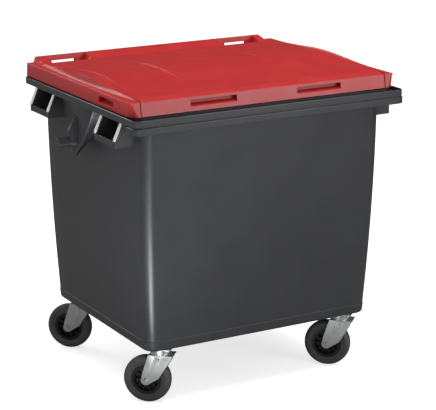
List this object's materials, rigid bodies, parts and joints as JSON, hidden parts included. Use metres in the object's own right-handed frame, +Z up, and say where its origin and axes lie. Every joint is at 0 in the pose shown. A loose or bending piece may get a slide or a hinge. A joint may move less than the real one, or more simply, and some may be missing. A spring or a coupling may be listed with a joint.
{
  "type": "four-wheel waste container",
  "caption": "Large wheeled waste container with a grey tub, a flat red hinged lid with hand slots, side handle boxes, lifting pins and swivel castors.",
  "frame": {"origin": "on the floor, under the middle of the overall box", "axes": "+Z up, -Y the front with the comb lip, +Y the hinge side, +X to the right seen from the front"},
  "size_m": [1.38, 1.096, 1.3185],
  "materials": {
    "tub_plastic": "moulded polyethylene, dark grey, satin",
    "lid_plastic": "moulded polyethylene, red, satin",
    "rim_plastic": "black moulded nylon",
    "rubber": "black rubber",
    "tyre": "dark grey solid rubber",
    "zinc": "bright zinc plated pressed steel",
    "strip_zinc": "white zinc strip",
    "bright_steel": "ground steel",
    "pin_paint": "dark grey painted steel"
  },
  "bodies": {
    "tub": {"bolts_front_left": "zinc", "bolts_front_right": "zinc", "bolts_rear_left": "zinc", "bolts_rear_right": "zinc", "drain_plug": "rim_plastic", "drain_seal": "rubber", "handle_boxes_left": "tub_plastic", "handle_boxes_right": "tub_plastic", "hinge_ear_left": "tub_plastic", "hinge_ear_right": "tub_plastic", "hinge_pin_left": "zinc", "hinge_pin_right": "zinc", "lifting_pin_left": "pin_paint", "lifting_pin_right": "pin_paint", "pin_bracket_left": "tub_plastic", "pin_bracket_right": "tub_plastic", "plate_front_left": "zinc", "plate_front_right": "zinc", "plate_rear_left": "zinc", "plate_rear_right": "zinc", "tub": "tub_plastic", "tub_rim": "tub_plastic", "wear_strips_left": "strip_zinc", "wear_strips_right": "strip_zinc"},
    "lid": {"lid_shell": "lid_plastic", "lid_buffers": "rubber"},
    "castor_front_left": {"axle_bolt_front_left": "zinc", "axle_sleeve_front_left": "bright_steel", "balls_front_left": "bright_steel", "fork_front_left": "zinc", "kingpin_front_left": "zinc"},
    "wheel_front_left": {"bearing_front_left": "bright_steel", "rim_front_left": "rim_plastic", "tyre_front_left": "tyre"},
    "castor_front_right": {"axle_bolt_front_right": "zinc", "axle_sleeve_front_right": "bright_steel", "balls_front_right": "bright_steel", "fork_front_right": "zinc", "kingpin_front_right": "zinc"},
    "wheel_front_right": {"bearing_front_right": "bright_steel", "rim_front_right": "rim_plastic", "tyre_front_right": "tyre"},
    "castor_rear_left": {"axle_bolt_rear_left": "zinc", "axle_sleeve_rear_left": "bright_steel", "balls_rear_left": "bright_steel", "fork_rear_left": "zinc", "kingpin_rear_left": "zinc"},
    "wheel_rear_left": {"bearing_rear_left": "bright_steel", "rim_rear_left": "rim_plastic", "tyre_rear_left": "tyre"},
    "castor_rear_right": {"axle_bolt_rear_right": "zinc", "axle_sleeve_rear_right": "bright_steel", "balls_rear_right": "bright_steel", "fork_rear_right": "zinc", "kingpin_rear_right": "zinc"},
    "wheel_rear_right": {"bearing_rear_right": "bright_steel", "rim_rear_right": "rim_plastic", "tyre_rear_right": "tyre"}
  },
  "joints": [
    {"name": "lid_hinge", "type": "hinge", "parent": "tub", "child": "lid", "pos_m": [0, 0.535, 1.268], "axis": [-1, 0, 0], "range_deg": [0, 230]},
    {"name": "swivel_front_left", "type": "hinge", "parent": "tub", "child": "castor_front_left", "pos_m": [-0.439, -0.371, 0.225], "axis": [0, 0, 1], "continuous": true},
    {"name": "spin_front_left", "type": "hinge", "parent": "castor_front_left", "child": "wheel_front_left", "pos_m": [-0.47866, -0.3329, 0.1], "axis": [0.6928, 0.7212, 0], "continuous": true},
    {"name": "swivel_front_right", "type": "hinge", "parent": "tub", "child": "castor_front_right", "pos_m": [0.439, -0.371, 0.225], "axis": [0, 0, 1], "continuous": true},
    {"name": "spin_front_right", "type": "hinge", "parent": "castor_front_right", "child": "wheel_front_right", "pos_m": [0.39934, -0.3329, 0.1], "axis": [0.6928, 0.7212, 0], "continuous": true},
    {"name": "swivel_rear_left", "type": "hinge", "parent": "tub", "child": "castor_rear_left", "pos_m": [-0.439, 0.385, 0.225], "axis": [0, 0, 1], "continuous": true},
    {"name": "spin_rear_left", "type": "hinge", "parent": "castor_rear_left", "child": "wheel_rear_left", "pos_m": [-0.47866, 0.4231, 0.1], "axis": [0.6928, 0.7212, 0], "continuous": true},
    {"name": "swivel_rear_right", "type": "hinge", "parent": "tub", "child": "castor_rear_right", "pos_m": [0.439, 0.385, 0.225], "axis": [0, 0, 1], "continuous": true},
    {"name": "spin_rear_right", "type": "hinge", "parent": "castor_rear_right", "child": "wheel_rear_right", "pos_m": [0.39934, 0.4231, 0.1], "axis": [0.6928, 0.7212, 0], "continuous": true}
  ]
}
